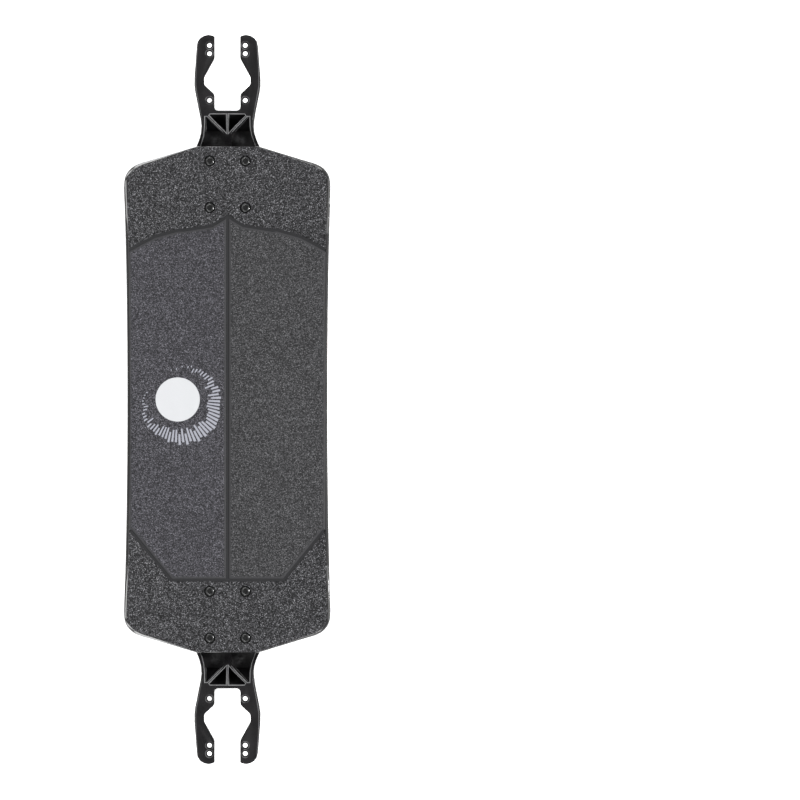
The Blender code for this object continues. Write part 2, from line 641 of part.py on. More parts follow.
def bolt_mesh(name, head, socket, seat_z, rounded, mat):
    """A socket screw, head down: its seat at seat_z and its tip inside the barrel nut."""
    radius, height = head
    end = seat_z - height
    if rounded:
        rim = [(radius * share, seat_z - below * MM) for share, below in LUG_HEAD_DOME]
    else:
        rim = [(radius, end + HEAD_CHAMFER), (radius - HEAD_CHAMFER, end)]
    tip = BOLT_TIP_Z
    profile = [(0, tip), (THREAD_RADIUS - TIP_CHAMFER, tip), (THREAD_RADIUS, tip - TIP_CHAMFER),
               (THREAD_RADIUS, seat_z), (radius, seat_z), *rim, (0, end)]
    return with_socket(name, profile, socket, end, mat)


def finished(mesh, mat):
    mesh.materials.append(mat)
    shade_round(mesh)
    return mesh


def washer_mesh(name, washer, seat_z, mat):
    radius, thickness = washer
    low = seat_z - SEAT_GAP - thickness
    profile = ((radius, low + thickness), (radius, low), (CLEARANCE_RADIUS, low),
               (CLEARANCE_RADIUS, low + thickness))
    return finished(turned(name, profile), mat), low - SEAT_GAP


def nut_mesh(mat):
    """A closed barrel nut: its domed head lies in the top laminate, its shank in the core."""
    seat, crown = TOP_LAMINATE_Z, TOP_LAMINATE_Z + NUT_CROWN
    dome = [(NUT_FLANGE_RADIUS * share, crown - below * MM) for share, below in NUT_DOME]
    profile = ((0, crown), *dome, (NUT_FLANGE_RADIUS, seat), (NUT_SHANK_RADIUS, seat),
               (NUT_SHANK_RADIUS, NUT_BOTTOM_Z), (CLEARANCE_RADIUS, NUT_BOTTOM_Z),
               (CLEARANCE_RADIUS, NUT_BORE_TOP_Z), (0, NUT_BORE_TOP_Z))
    return with_socket("barrel_nut", profile, NUT_SOCKET, crown, mat)


def make_fasteners():
    black_steel = material("black_steel", (0.03, 0.03, 0.032), 0.35, 0.8)
    zinc = material("zinc_steel", (0.45, 0.45, 0.46), 0.3, 0.9)
    main_washer, main_seat = washer_mesh("main_washer", MAIN_WASHER, MAIN_COUNTERBORE_Z, black_steel)
    lug_washer, lug_seat = washer_mesh("lug_washer", LUG_WASHER, LUG_COUNTERBORE_Z, black_steel)
    meshes = {
        "main_bolt": (bolt_mesh("main_bolt", MAIN_HEAD, MAIN_SOCKET, main_seat, False, black_steel),
                      MAIN_BOLT_Y),
        "main_washer": (main_washer, MAIN_BOLT_Y),
        "main_nut": (nut_mesh(black_steel), MAIN_BOLT_Y),
        "lug_screw": (bolt_mesh("lug_screw", LUG_HEAD, LUG_SOCKET, lug_seat, True, zinc), LUG_Y),
        "lug_washer": (lug_washer, LUG_Y),
        "lug_nut": (nut_mesh(black_steel), LUG_Y),
    }
    for kind, (mesh, y) in meshes.items():
        for end, sy in (("front", 1), ("rear", -1)):
            for side, sx in (("left", -1), ("right", 1)):
                piece = add_object(f"{end}_{side}_{kind}", mesh)
                piece.location = (sx * LUG_X, sy * y, 0)


def main():
    make_deck()
    front = make_front_bracket()
    rear = add_object("rear_bracket", evaluated_mesh(front))
    rear.rotation_euler.z = math.pi
    make_fasteners()


main()
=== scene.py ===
"""A longboard deck without its trucks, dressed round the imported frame.

Metres, +Z up, +Y towards the front. The pieces come in the order in which the board is put together.
"""
import math

import bpy
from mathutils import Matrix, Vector


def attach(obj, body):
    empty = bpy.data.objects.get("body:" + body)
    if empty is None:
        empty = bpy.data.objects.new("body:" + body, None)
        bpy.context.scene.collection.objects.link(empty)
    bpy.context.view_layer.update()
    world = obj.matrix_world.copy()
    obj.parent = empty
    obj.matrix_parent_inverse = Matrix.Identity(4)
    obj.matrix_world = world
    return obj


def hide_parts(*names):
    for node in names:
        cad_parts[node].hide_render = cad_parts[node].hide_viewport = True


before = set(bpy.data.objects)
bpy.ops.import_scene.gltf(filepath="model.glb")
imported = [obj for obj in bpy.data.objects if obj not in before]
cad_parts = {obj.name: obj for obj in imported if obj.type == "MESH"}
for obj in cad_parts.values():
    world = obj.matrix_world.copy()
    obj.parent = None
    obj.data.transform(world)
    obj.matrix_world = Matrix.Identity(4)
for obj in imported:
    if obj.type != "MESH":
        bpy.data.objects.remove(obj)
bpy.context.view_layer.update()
bpy.ops.object.select_all(action="DESELECT")


# The core: flat strips of bamboo, pressed and glued into a plate 7.8 mm thick. The laminates and the
# edge band cover it on every side. The CAD piece is right as it is and only gets its wood, with black
# painted round the bores as shade for the deep gap round each nut.

MM = 0.001
BOLT_X = 20.65 * MM
MAIN_BOLT_Y, LUG_BOLT_Y = 276 * MM, 222 * MM
BORE_SHADE_RADIUS = 8 * MM
BORE_SHADE_BLACK = (0.012, 0.012, 0.012)


class Signal:
    """One output of a finish's nodes. Sums written with it add the Math nodes that they need."""

    def __init__(self, socket):
        self.socket = socket

    def node(self, kind, settings=None, inputs=None, output=0):
        """Add any other node to the same finish: its settings first, then its sockets."""
        tree = self.socket.id_data
        made = tree.nodes.new("ShaderNode" + kind)
        for key, value in (settings or {}).items():
            if key == "stops":
                ramp = made.color_ramp
                while len(ramp.elements) < len(value):
                    ramp.elements.new(1.0)
                for element, (place, colour) in zip(ramp.elements, value):
                    element.position = place
                    element.color = (*colour, 1.0)
            elif key == "interpolation":
                made.color_ramp.interpolation = value
            else:
                setattr(made, key, value)
        for key, value in (inputs or {}).items():
            if isinstance(value, Signal):
                tree.links.new(value.socket, made.inputs[key])
            else:
                made.inputs[key].default_value = value
        return Signal(made.outputs[output])

    def maths(self, operation, *others):
        return self.node("Math", {"operation": operation}, dict(enumerate((self, *others))))

    def __add__(self, other):
        return self.maths("ADD", other)

    def __sub__(self, other):
        return self.maths("SUBTRACT", other)

    def __rsub__(self, other):
        return (self * -1.0) + other

    def __mul__(self, other):
        return self.maths("MULTIPLY", other)

    def __truediv__(self, other):
        return self.maths("DIVIDE", other)

    def __lt__(self, other):
        return self.maths("LESS_THAN", other)

    def __gt__(self, other):
        return self.maths("GREATER_THAN", other)

    def __abs__(self):
        return self.maths("ABSOLUTE")

    __radd__, __rmul__ = __add__, __mul__

    def noise(self, size, detail=2.0, roughness=0.5):
        """Soft noise whose largest blotches are about size metres across."""
        return self.node("TexNoise", inputs={"Vector": self, "Scale": 1 / size, "Detail": detail,
                                             "Roughness": roughness})

    def grains(self, size, output=0):
        """Cells about size metres across: 0 is the distance from a cell's middle, 1 its own colour."""
        return self.node("TexVoronoi", inputs={"Vector": self, "Scale": 1 / size}, output=output)

    def between(self, low, high, to_low=0.0, to_high=1.0):
        """The value stretched from low..high to to_low..to_high, and clamped there."""
        return self.node("MapRange", inputs={"Value": self, "From Min": low, "From Max": high,
                                             "To Min": to_low, "To Max": to_high})

    def ramp(self, *stops, interpolation="LINEAR"):
        return self.node("ValToRGB", {"stops": stops, "interpolation": interpolation}, {"Fac": self})

    def mix(self, under, over):
        """Colour under where the value is 0, colour over where it is 1."""
        def painted(colour):
            return colour if isinstance(colour, Signal) else (*colour, 1.0)
        return self.node("Mix", {"data_type": "RGBA"}, {"Factor": self, 6: painted(under),
                                                        7: painted(over)}, output=2)

    def part(self, axis):
        return self.node("SeparateXYZ", inputs={"Vector": self}, output="XYZ".index(axis))

    def stretched(self, x, y, z):
        return self.node("Mapping", inputs={"Vector": self, "Scale": (x, y, z)})

    def bumps(self, depth):
        """A normal with the value's relief, depth metres from its lowest to its highest."""
        return self.node("Bump", inputs={"Height": self, "Distance": depth, "Strength": 1.0})


def new_finish(name, **constants):
    """A finish's material and the point on the piece that its patterns start from."""
    material = bpy.data.materials.new(name)
    material.use_nodes = True
    shader = material.node_tree.nodes["Principled BSDF"]
    for socket, value in constants.items():
        shader.inputs[socket.replace("_", " ")].default_value = value
    place = material.node_tree.nodes.new("ShaderNodeTexCoord")
    return material, Signal(place.outputs["Object"])


def wire(material, **signals):
    """Lead what varies over the surface into the finish's shader."""
    for socket, signal in signals.items():
        target = material.node_tree.nodes["Principled BSDF"].inputs[socket.replace("_", " ")]
        material.node_tree.links.new(signal.socket, target)


def distance(x, y):
    """How far a point with these two coordinates lies from their zero."""
    return (x * x + y * y).maths("SQRT")


bamboo, point = new_finish("pressed_bamboo", Roughness=0.55)
strips = point.stretched(1.0, 0.03, 1.0).noise(4 * MM, detail=4.0)
plies = point.stretched(0.02, 0.02, 1.0).noise(1.6 * MM)
wood = (strips * 0.6 + plies * 0.4).ramp((0.3, (0.36, 0.22, 0.10)), (0.7, (0.62, 0.44, 0.24)))
# Painted shade: black round each bore, where the gap round a nut looks down onto the core.
bore_x = abs(point.part("X")) - BOLT_X
bore_y = abs(abs(point.part("Y")) - (MAIN_BOLT_Y + LUG_BOLT_Y) / 2) - (MAIN_BOLT_Y - LUG_BOLT_Y) / 2
bore_shade = distance(bore_x, bore_y) < BORE_SHADE_RADIUS
wire(bamboo, Base_Color=bore_shade.mix(wood, BORE_SHADE_BLACK), Normal=strips.bumps(0.1 * MM))
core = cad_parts["deck_core"]
core.data.materials.clear()
core.data.materials.append(bamboo)


# The underside: one sheet of glossy black glass laminate, pressed over the core. A print under the
# gloss fills its middle. It bends up towards the edges, and once more across each corner.

FLAT_HALF_WIDTH = 44 * MM
WAIST_HALF_WIDTH = 115.5 * MM
RAIL_RISE = 9.5 * MM
CONCAVE_POWER = 1.8
CREASE_END = Vector((54 * MM, 280 * MM))
CREASE_SIDE = Vector((112 * MM, 210 * MM))
CREASE_OUTWARD = Vector((CREASE_END.y - CREASE_SIDE.y, CREASE_SIDE.x - CREASE_END.x)).normalized()
CREASE_SOFTNESS = 4 * MM
FLARE_SLOPE = 0.11
FOLD_SPACING = 4.5 * MM


def rise(x, y):
    """Height of the pressed deck above its flat middle."""
    out = max(0.0, abs(x) - FLAT_HALF_WIDTH) / (WAIST_HALF_WIDTH - FLAT_HALF_WIDTH)
    past = (Vector((abs(x), abs(y))) - CREASE_END).dot(CREASE_OUTWARD)
    if past <= -CREASE_SOFTNESS:
        bent = 0.0
    elif past < CREASE_SOFTNESS:
        bent = (past + CREASE_SOFTNESS) ** 2 / (4 * CREASE_SOFTNESS)
    else:
        bent = past
    return RAIL_RISE * out ** CONCAVE_POWER + FLARE_SLOPE * bent


def only(piece):
    bpy.ops.object.select_all(action="DESELECT")
    piece.select_set(True)
    bpy.context.view_layer.objects.active = piece


def pick(piece, mode, test):
    """Select the VERT, EDGE or FACE parts of a piece that pass a test, and no others."""
    mesh = piece.data
    for part in (*mesh.vertices, *mesh.edges, *mesh.polygons):
        part.select = False
    kinds = {"VERT": mesh.vertices, "EDGE": mesh.edges, "FACE": mesh.polygons}
    for part in kinds[mode]:
        part.select = test(part)
    bpy.context.tool_settings.mesh_select_mode = [kind == mode for kind in kinds]


def in_edit(piece, operator, **settings):
    """Run one edit-mode operator on what is picked."""
    only(piece)
    bpy.ops.object.mode_set(mode="EDIT")
    operator(**settings)
    bpy.ops.object.mode_set(mode="OBJECT")


def everything(_):
    return True


def add_modifier(piece, kind, **settings):
    """Add a modifier to a piece and apply it."""
    only(piece)
    modifier = piece.modifiers.new(kind.lower(), kind)
    for key, value in settings.items():
        setattr(modifier, key, value)
    bpy.ops.object.modifier_apply(modifier=modifier.name)


def copy_of(node, name):
    """A new piece from a CAD node's mesh, with its doubled corners merged."""
    piece = bpy.data.objects.new(name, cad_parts[node].data.copy())
    bpy.context.scene.collection.objects.link(piece)
    piece.data.materials.clear()
    only(piece)
    bpy.ops.mesh.customdata_custom_splitnormals_clear()
    pick(piece, "VERT", everything)
    in_edit(piece, bpy.ops.mesh.remove_doubles, threshold=0.00001)
    return piece


def press(piece, way):
    """Give a flat sheet the deck's concave with way 1, or take it out again with way -1."""
    for vertex in piece.data.vertices:
        vertex.co.z += way * rise(vertex.co.x, vertex.co.y)


def flattened(node, name):
    """A deck layer with its concave taken out and its loose triangles joined into plain faces."""
    piece = copy_of(node, name)
    press(piece, -1)
    pick(piece, "FACE", everything)
    in_edit(piece, bpy.ops.mesh.dissolve_limited, angle_limit=math.radians(1))
    return piece


def fold_lines():
    """Plan lines along which the sheets are divided, so that they bend smoothly in the press."""
    lines = []
    steps = round((WAIST_HALF_WIDTH - FLAT_HALF_WIDTH) / FOLD_SPACING)
    for side in (1, -1):
        for k in range(steps + 1):
            x = FLAT_HALF_WIDTH + (WAIST_HALF_WIDTH - FLAT_HALF_WIDTH) * k / steps
            lines.append(((side * x, 0, 0), (1, 0, 0)))
        for end in (1, -1):
            for k in (-1, -0.5, 0, 0.5, 1):
                place = CREASE_END + CREASE_OUTWARD * CREASE_SOFTNESS * k
                lines.append(((side * place.x, end * place.y, 0),
                              (side * CREASE_OUTWARD.x, end * CREASE_OUTWARD.y, 0)))
    return lines


def pressed(piece):
    """Divide a flat layer along the fold lines and press it into the deck's shape."""
    for place, normal in fold_lines():
        pick(piece, "FACE", everything)
        in_edit(piece, bpy.ops.mesh.bisect, plane_co=place, plane_no=normal, threshold=0.00001)
    press(piece, 1)


def dressed(piece, finish, slot, *nodes, sharp=35):
    """Shade a finished piece, paint it, and let it stand for its CAD nodes."""
    only(piece)
    bpy.ops.object.shade_smooth_by_angle(angle=math.radians(sharp))
    piece.data.materials.append(finish)
    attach(piece, "root")
    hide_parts(*nodes)


gloss, point = new_finish("gloss_black_laminate", Coat_Weight=0.3, Coat_Roughness=0.08,
                          Specular_IOR_Level=0.3)
TILE = 62 * MM
TILE_COLUMNS, TILE_ROWS = 3, 6
PRINT_MIDDLE = (0.0, -6 * MM)
APRICOT, CRIMSON, NAVY = (0.86, 0.42, 0.09), (0.42, 0.02, 0.05), (0.02, 0.03, 0.11)
TEAL, SKY, DEEP_BLUE = (0.03, 0.34, 0.40), (0.38, 0.66, 0.76), (0.02, 0.12, 0.30)
WHITE, PEACH = (0.78, 0.78, 0.76), (0.80, 0.42, 0.33)
LILAC, BLACK = (0.33, 0.31, 0.34), (0.013, 0.013, 0.013)
# Ground colour, figure colour and figure of each tile, from the rear left to the front right
TILES = (
    (BLACK, PEACH, "slope"), (LILAC, WHITE, "arch"), (BLACK, APRICOT, "corner"),
    (PEACH, CRIMSON, "corner"), (BLACK, SKY, "diamond"), (TEAL, NAVY, "slope"),
    (BLACK, WHITE, "bars"), (APRICOT, CRIMSON, "arch"), (BLACK, TEAL, "bars"),
    (DEEP_BLUE, SKY, "slope"), (WHITE, LILAC, "corner"), (CRIMSON, APRICOT, "diamond"),
    (BLACK, APRICOT, "arch"), (NAVY, TEAL, "bars"), (BLACK, PEACH, "arch"),
    (BLACK, DEEP_BLUE, "corner"), (CRIMSON, PEACH, "slope"), (BLACK, WHITE, "diamond"),
)
along_x = point.part("X") / TILE + (TILE_COLUMNS / 2 - PRINT_MIDDLE[0] / TILE)
along_y = point.part("Y") / TILE + (TILE_ROWS / 2 - PRINT_MIDDLE[1] / TILE)
column, row = along_x.maths("FLOOR"), along_y.maths("FLOOR")
across, up = along_x - column - 0.5, along_y - row - 0.5
inside = ((along_x > 0.0) * (along_x < float(TILE_COLUMNS))
          * (along_y > 0.0) * (along_y < float(TILE_ROWS)))
number = (column + row * TILE_COLUMNS + 0.5) / len(TILES)
figures = {
    "slope": (across + up) > 0.0,
    "arch": distance(across, up + 0.5) < 0.5,
    "corner": distance(across + 0.5, up - 0.5) < 1.0,
    "diamond": (abs(across) + abs(up)) < 0.5,
    "bars": (up * 4.0 + 2.0).maths("FRACT") < 0.5,
}
kinds = list(figures)


def by_tile(colours):
    """The colour that a list gives to each tile."""
    return number.ramp(*[(k / len(TILES), colour) for k, colour in enumerate(colours)],
                       interpolation="CONSTANT")


ground = by_tile([tile[0] for tile in TILES])
figure = by_tile([tile[1] for tile in TILES])
chosen = by_tile([(kinds.index(tile[2]) / len(kinds),) * 3 for tile in TILES])
shown = None
for k, kind in enumerate(kinds):
    is_kind = chosen.node("Math", {"operation": "COMPARE"}, {0: chosen, 1: k / len(kinds), 2: 0.05})
    shown = is_kind * figures[kind] if shown is None else shown + is_kind * figures[kind]
ink = shown.mix(ground, figure)
cloudy = point.noise(60 * MM, detail=3.0)
charcoal = cloudy.mix((0.010, 0.010, 0.010), (0.016, 0.016, 0.015))
wire(gloss, Base_Color=inside.mix(charcoal, ink), Roughness=cloudy.between(0.3, 0.7, 0.24, 0.32))
underside = flattened("bottom_laminate", "underside_laminate")
pressed(underside)
dressed(underside, gloss, "gloss_laminate", "bottom_laminate")


# The top laminate: the same glass sheet left matt, which shows only in the seams between the grips
# and round the nuts.

matt, point = new_finish("matt_black_laminate", Specular_IOR_Level=0.2)
film = point.noise(0.8 * MM, detail=4.0)
wire(matt, Base_Color=film.mix((0.015, 0.015, 0.016), (0.022, 0.022, 0.024)),
     Roughness=film.between(0.3, 0.7, 0.5, 0.65), Normal=film.bumps(0.02 * MM))
top_skin = flattened("top_laminate", "top_skin")
pressed(top_skin)
dressed(top_skin, matt, "matte_laminate", "top_laminate")


# The edge band: a moulded ring of black plastic that wraps the raw edges of the sheets. Its wall is
# satin, and the slope over its upper outer corner is as glossy as glass at both ends, and less so
# along the left side. Along the right side it is left dull, or the lamp's reflection would burn out.

BAND_EDGE = 0.25 * MM
POLISHED_ABOVE, END_POLISHED_ABOVE = math.cos(math.radians(50)), math.cos(math.radians(75))
END_START = 238 * MM
SIDE_END = 200 * MM
LEFT_POLISH, RIGHT_POLISH = 0.4, 0.0


def attribute(material, name):
    """The number that a piece keeps under that name on its faces or points."""
    node = material.node_tree.nodes.new("ShaderNodeAttribute")
    node.attribute_name = name
    return Signal(node.outputs["Fac"])


band_black, point = new_finish("black_band", Base_Color=(0.006, 0.006, 0.0065, 1.0),
                               Specular_IOR_Level=0.2, Coat_IOR=1.8, Coat_Roughness=0.05)
handled = point.noise(25 * MM, detail=4.0)
wire(band_black, Roughness=handled.between(0.3, 0.7, 0.35, 0.5),
     Coat_Weight=attribute(band_black, "polished"))
edge_band = copy_of("edge_rail", "edge_band")
press(edge_band, -1)
pick(edge_band, "FACE", everything)
in_edit(edge_band, bpy.ops.mesh.tris_convert_to_quads, face_threshold=math.pi,
        shape_threshold=math.pi)
polished = edge_band.data.attributes.new("polished", "FLOAT", "FACE")
for face, amount in zip(edge_band.data.polygons, polished.data):
    at_end = abs(face.center.y) > END_START
    side_polish = LEFT_POLISH if face.center.x < 0 else RIGHT_POLISH
    shine = side_polish if abs(face.center.y) < SIDE_END else 1.0
    amount.value = shine * (face.normal.z > (END_POLISHED_ABOVE if at_end else POLISHED_ABOVE))
add_modifier(edge_band, "BEVEL", width=BAND_EDGE, segments=1, limit_method="ANGLE",
             angle_limit=math.radians(26))
add_modifier(edge_band, "SUBSURF", levels=2, render_levels=2)
press(edge_band, 1)
dressed(edge_band, band_black, "edge_band", "edge_rail", sharp=50)


# The end grips: two sheets of coarse silicon carbide grit in resin, which cover both ends down to the
# corners of the pads, with a round hole over each nut.

CRYSTAL, CRYSTAL_RELIEF = 0.85 * MM, 0.25 * MM
# The grains' own random greys; the brightest stops are painted glints for the glitter of the crystals.
COARSE_TONES_AND_GLINTS = ((0.0, 0.004), (0.4, 0.018), (0.66, 0.052), (0.85, 0.125), (1.0, 0.36))
COARSE_TINT = (1.0, 1.0, 1.06)
SHEET_EDGE = 0.35 * MM


def toned(value, tones, tint):
    """A colour between tinted greys, each given with the value that it stands for."""
    return value.ramp(*[(place, tuple(tone * share for share in tint)) for place, tone in tones])


coarse, point = new_finish("coarse_grit_sheet", Specular_IOR_Level=0.12)
crystal = point.grains(CRYSTAL, output=1).part("X")
from_middle = point.grains(CRYSTAL)
patches = point.noise(30 * MM, detail=3.0)
# Each grain's grey, with painted glints on the brightest ones, darker towards the resin round it.
speckle_and_glints = (crystal + (patches - 0.5) * 0.06) * from_middle.between(0.25, 0.75, 1.0, 0.7)
wire(coarse, Base_Color=toned(speckle_and_glints, COARSE_TONES_AND_GLINTS, COARSE_TINT),
     Roughness=crystal.between(0.2, 0.9, 0.75, 0.5),
     Normal=(1.0 - from_middle).bumps(CRYSTAL_RELIEF))
for end in ("front", "rear"):
    sheet = flattened(end + "_grip", end + "_grit_sheet")
    add_modifier(sheet, "BEVEL", width=SHEET_EDGE, segments=2, limit_method="ANGLE",
                 angle_limit=math.radians(60))
    pressed(sheet)
    dressed(sheet, coarse, "coarse_grit", end + "_grip")


# The side pads: two thin sheets of dense foam faced with fine grit, one on each side of the middle
# seam. Their borders are pressed down smooth. The left one carries a printed disc and ring.

PAD_BORDER = ((1.4, 0.35), (1.2, 0.15))      # mm inwards and mm up of each step of the soft border
PAD_FACE_DROP = 0.5 * MM
GRAIN, GRAIN_RELIEF = 0.9 * MM, 0.15 * MM
FINE_TONES = ((0.0, 0.010), (0.4, 0.029), (0.7, 0.068), (0.88, 0.125), (1.0, 0.20))
BORDER_GREY = (0.034, 0.034, 0.036)
DISC_MIDDLE, DISC_RADIUS = (-57.5 * MM, 0.0), 25.5 * MM
DISC_WHITE, TICK_GREY = (0.455, 0.462, 0.474), (0.26, 0.265, 0.30)
TICKS = 72
TICK_START, TICK_START_JITTER = 34 * MM, 8 * MM
TICK_END, TICK_END_SWING, TICK_END_JITTER = 43 * MM, 8 * MM, 4 * MM
LONGEST_TICK_TURN = -0.9                     # radians from the +X side
TICK_HALF_WIDTH, TICK_WIDTH_SWING = 0.22, 0.10               # shares of the space for one tick


def fine_grit(name, tint):
    """The pads' fine grit, fading into a smooth border: its material, its point and its colour."""
    finish, point = new_finish(name, Specular_IOR_Level=0.2)
    speck = point.grains(GRAIN, output=1).part("X")
    from_middle = point.grains(GRAIN)
    mottle = point.noise(7 * MM, detail=3.0)
    rough = attribute(finish, "faced").between(0.75, 0.95)
    value = (speck + (mottle - 0.5) * 0.12) * from_middle.between(0.25, 0.75, 1.0, 0.6)
    wire(finish, Roughness=value.between(0.2, 0.9, 0.8, 0.55),
         Normal=((1.0 - from_middle) * rough).bumps(GRAIN_RELIEF))
    return finish, point, rough.mix(BORDER_GREY, toned(value, FINE_TONES, tint))


left_face, point, sprinkled = fine_grit("fine_grit_violet", (1.0, 0.98, 1.12))
x, y = point.part("X") - DISC_MIDDLE[0], point.part("Y") - DISC_MIDDLE[1]
radius = distance(x, y)
turn = y.maths("ARCTAN2", x)
toward = (turn - LONGEST_TICK_TURN).maths("COSINE")
ticks_round = turn * (TICKS / (2 * math.pi))
tick_number = ticks_round.maths("FLOOR")
jitter = tick_number.node("TexWhiteNoise", {"noise_dimensions": "1D"}, {"W": tick_number})
beyond_start = radius > TICK_START + jitter * TICK_START_JITTER
before_end = radius < TICK_END + toward * TICK_END_SWING + jitter * TICK_END_JITTER
in_width = abs(ticks_round.maths("FRACT") - 0.5) < (toward * TICK_WIDTH_SWING + TICK_HALF_WIDTH)
ringed = (beyond_start * before_end * in_width).mix(sprinkled, TICK_GREY)
wire(left_face, Base_Color=(radius < DISC_RADIUS).mix(ringed, DISC_WHITE))

right_face, point, sprinkled = fine_grit("fine_grit_grey", (0.89, 0.89, 0.935))
wire(right_face, Base_Color=sprinkled)

for side, finish in (("left", left_face), ("right", right_face)):
    node = side + "_grip_pad"
    pad = flattened(node, side + "_grit_pad")
    low, high = min(v.co.z for v in pad.data.vertices), max(v.co.z for v in pad.data.vertices)
    face = max(pad.data.polygons, key=lambda f: f.center.z * 1000 + f.area)
    pad.data.attributes.new("faced", "FLOAT", "POINT")
    for index in face.vertices:
        pad.data.vertices[index].co.z -= PAD_FACE_DROP
    pick(pad, "FACE", lambda f: f.index == face.index)
    for inwards, up in PAD_BORDER:
        in_edit(pad, bpy.ops.mesh.inset, thickness=inwards * MM, depth=up * MM, use_even_offset=True)
    for vertex, faced in zip(pad.data.vertices, pad.data.attributes["faced"].data):
        faced.value = min(1.0, max(0.0, (vertex.co.z - low) / (high - low)))
    pressed(pad)
    dressed(pad, finish, "fine_grit", node, sharp=40)


# The brackets: one black-coated aluminium casting bolted under each end of the deck, with a flat
# plate under the deck, a ribbed neck that climbs past its end and a raised fork for the truck.

CAST_EDGE = 0.3 * MM
FORK_TOP = 34 * MM
RIB_ROUND, ROUND_STEPS = 0.9 * MM, 3
POCKET_START, POCKET_END = 288 * MM, 332 * MM
POCKET_HALF_WIDTH = ((288 * MM, 34 * MM), (300 * MM, 29.5 * MM))      # inside the neck's outer walls
PRONG_START, PRONG_OUTER_X = 334 * MM, 27 * MM
TRUCK_HOLE_YS = (345.5 * MM, 399.5 * MM, 409 * MM)
# Each truck hole's counterbore rim gets a pale ring as a painted highlight.
TRUCK_RIM_HIGHLIGHT = (4.1 * MM, 5.0 * MM)             # radii of the pale ring that is painted for each rim
TOP_ROUND = 0.45 * MM
# How pale the painted highlights on the rounded rib tops and prong edges are.
RIB_HIGHLIGHT, TOP_HIGHLIGHT = 1.0, 0.6
# Painted light: the faces below are made paler than the black top, the lowest face most.
UNDERSIDE_LIGHT_LOW, UNDERSIDE_LIGHT_HIGH = 0.4, 0.2             # paleness of the lowest face and of the others below
# The grey of the painted highlights and painted light, and the grey of a painted reflection in the
# pocket.
PAINTED_LIGHT_GREY, POCKET_REFLECTION_GREY = (0.17, 0.17, 0.173), (0.06, 0.06, 0.062)
SPINE_REACH, TRUSS_POINT = 6 * MM, 306 * MM  # the spine's rims stay dark on the deck's side of it
# A grey patch painted in each side of the pocket as a reflection on its curved floor.
POCKET_REFLECTION_SPOT, POCKET_REFLECTION_RADIUS = (14 * MM, 301 * MM), 8 * MM
POCKET_REFLECTION_ABOVE = 1.5 * MM                      # it lies in the pocket and not on the face below it

cast, point = new_finish("black_cast_alloy", Metallic=0.0, Specular_IOR_Level=0.14)
skin = point.noise(0.9 * MM, detail=4.0, roughness=0.6)
mottle = point.noise(35 * MM, detail=3.0) * 0.5 + skin * 0.5
sideways, along = abs(point.part("X")), abs(point.part("Y"))
# Painted reflection: a soft grey patch in each side of the pocket, above its lowest face.
near = distance(sideways - POCKET_REFLECTION_SPOT[0], along - POCKET_REFLECTION_SPOT[1]).between(
    0.2 * POCKET_REFLECTION_RADIUS, POCKET_REFLECTION_RADIUS, 1.0, 0.0)
pocket_reflection = near * point.noise(5 * MM, detail=3.0).between(0.35, 0.65) * (point.part("Z") > POCKET_REFLECTION_ABOVE)
black = pocket_reflection.mix(mottle.between(0.35, 0.65).mix((0.003, 0.003, 0.0033), (0.013, 0.012, 0.013)),
                   POCKET_REFLECTION_GREY)
# The pale attribute carries the painted highlights and the painted light below; it mixes in pale grey.
pale = attribute(cast, "pale")
# A painted highlight on the rim of each truck hole: a pale ring, broken by noise into arcs.
for hole_y in TRUCK_HOLE_YS:
    away = distance(sideways - BOLT_X, along - hole_y)
    ring = (away > TRUCK_RIM_HIGHLIGHT[0]) * (away < TRUCK_RIM_HIGHLIGHT[1])
    pale = pale + ring * point.noise(7 * MM).between(0.42, 0.58, 0.1, 0.55)
wire(cast, Base_Color=(pale * skin.between(0.3, 0.6, 0.7, 1.0)).mix(black, PAINTED_LIGHT_GREY),
     Roughness=mottle.between(0.35, 0.65, 0.36, 0.5), Normal=skin.bumps(0.03 * MM))


def top_rims(piece):
    """The edges of the bracket's top that get painted highlights as pale lines: those of the ribs, and
    those along the outsides of the prongs."""
    faces = {}
    for face in piece.data.polygons:
        for key in face.edge_keys:
            faces.setdefault(key, []).append(face)
    (near_y, near_x), (far_y, far_x) = POCKET_HALF_WIDTH
    ribs, tops = set(), set()
    for edge in piece.data.edges:
        ends = [piece.data.vertices[k].co for k in edge.vertices]
        x, y, z = (abs(value) for value in (ends[0] + ends[1]) / 2)
        slants = sorted(face.normal.z for face in faces.get(edge.key, []))
        if len(slants) != 2 or slants[1] < 0.5:
            continue
        half_width = near_x + (far_x - near_x) * min(1.0, max(0.0, (y - near_y) / (far_y - near_y)))
        on_spine = x < SPINE_REACH and y < TRUSS_POINT
        if POCKET_START < y < POCKET_END and x < half_width and abs(slants[0]) < 0.25 and not on_spine:
            wall = min(faces[edge.key], key=lambda face: face.normal.z)
            if min(piece.data.vertices[k].co.z for k in wall.vertices) < z - 1 * MM:
                ribs.add(edge.index)
        on_top = abs(z - FORK_TOP) < 0.01 * MM and y > PRONG_START and slants[1] > 0.99 > slants[0]
        if on_top and x > PRONG_OUTER_X:
            tops.add(edge.index)
    return ribs, tops


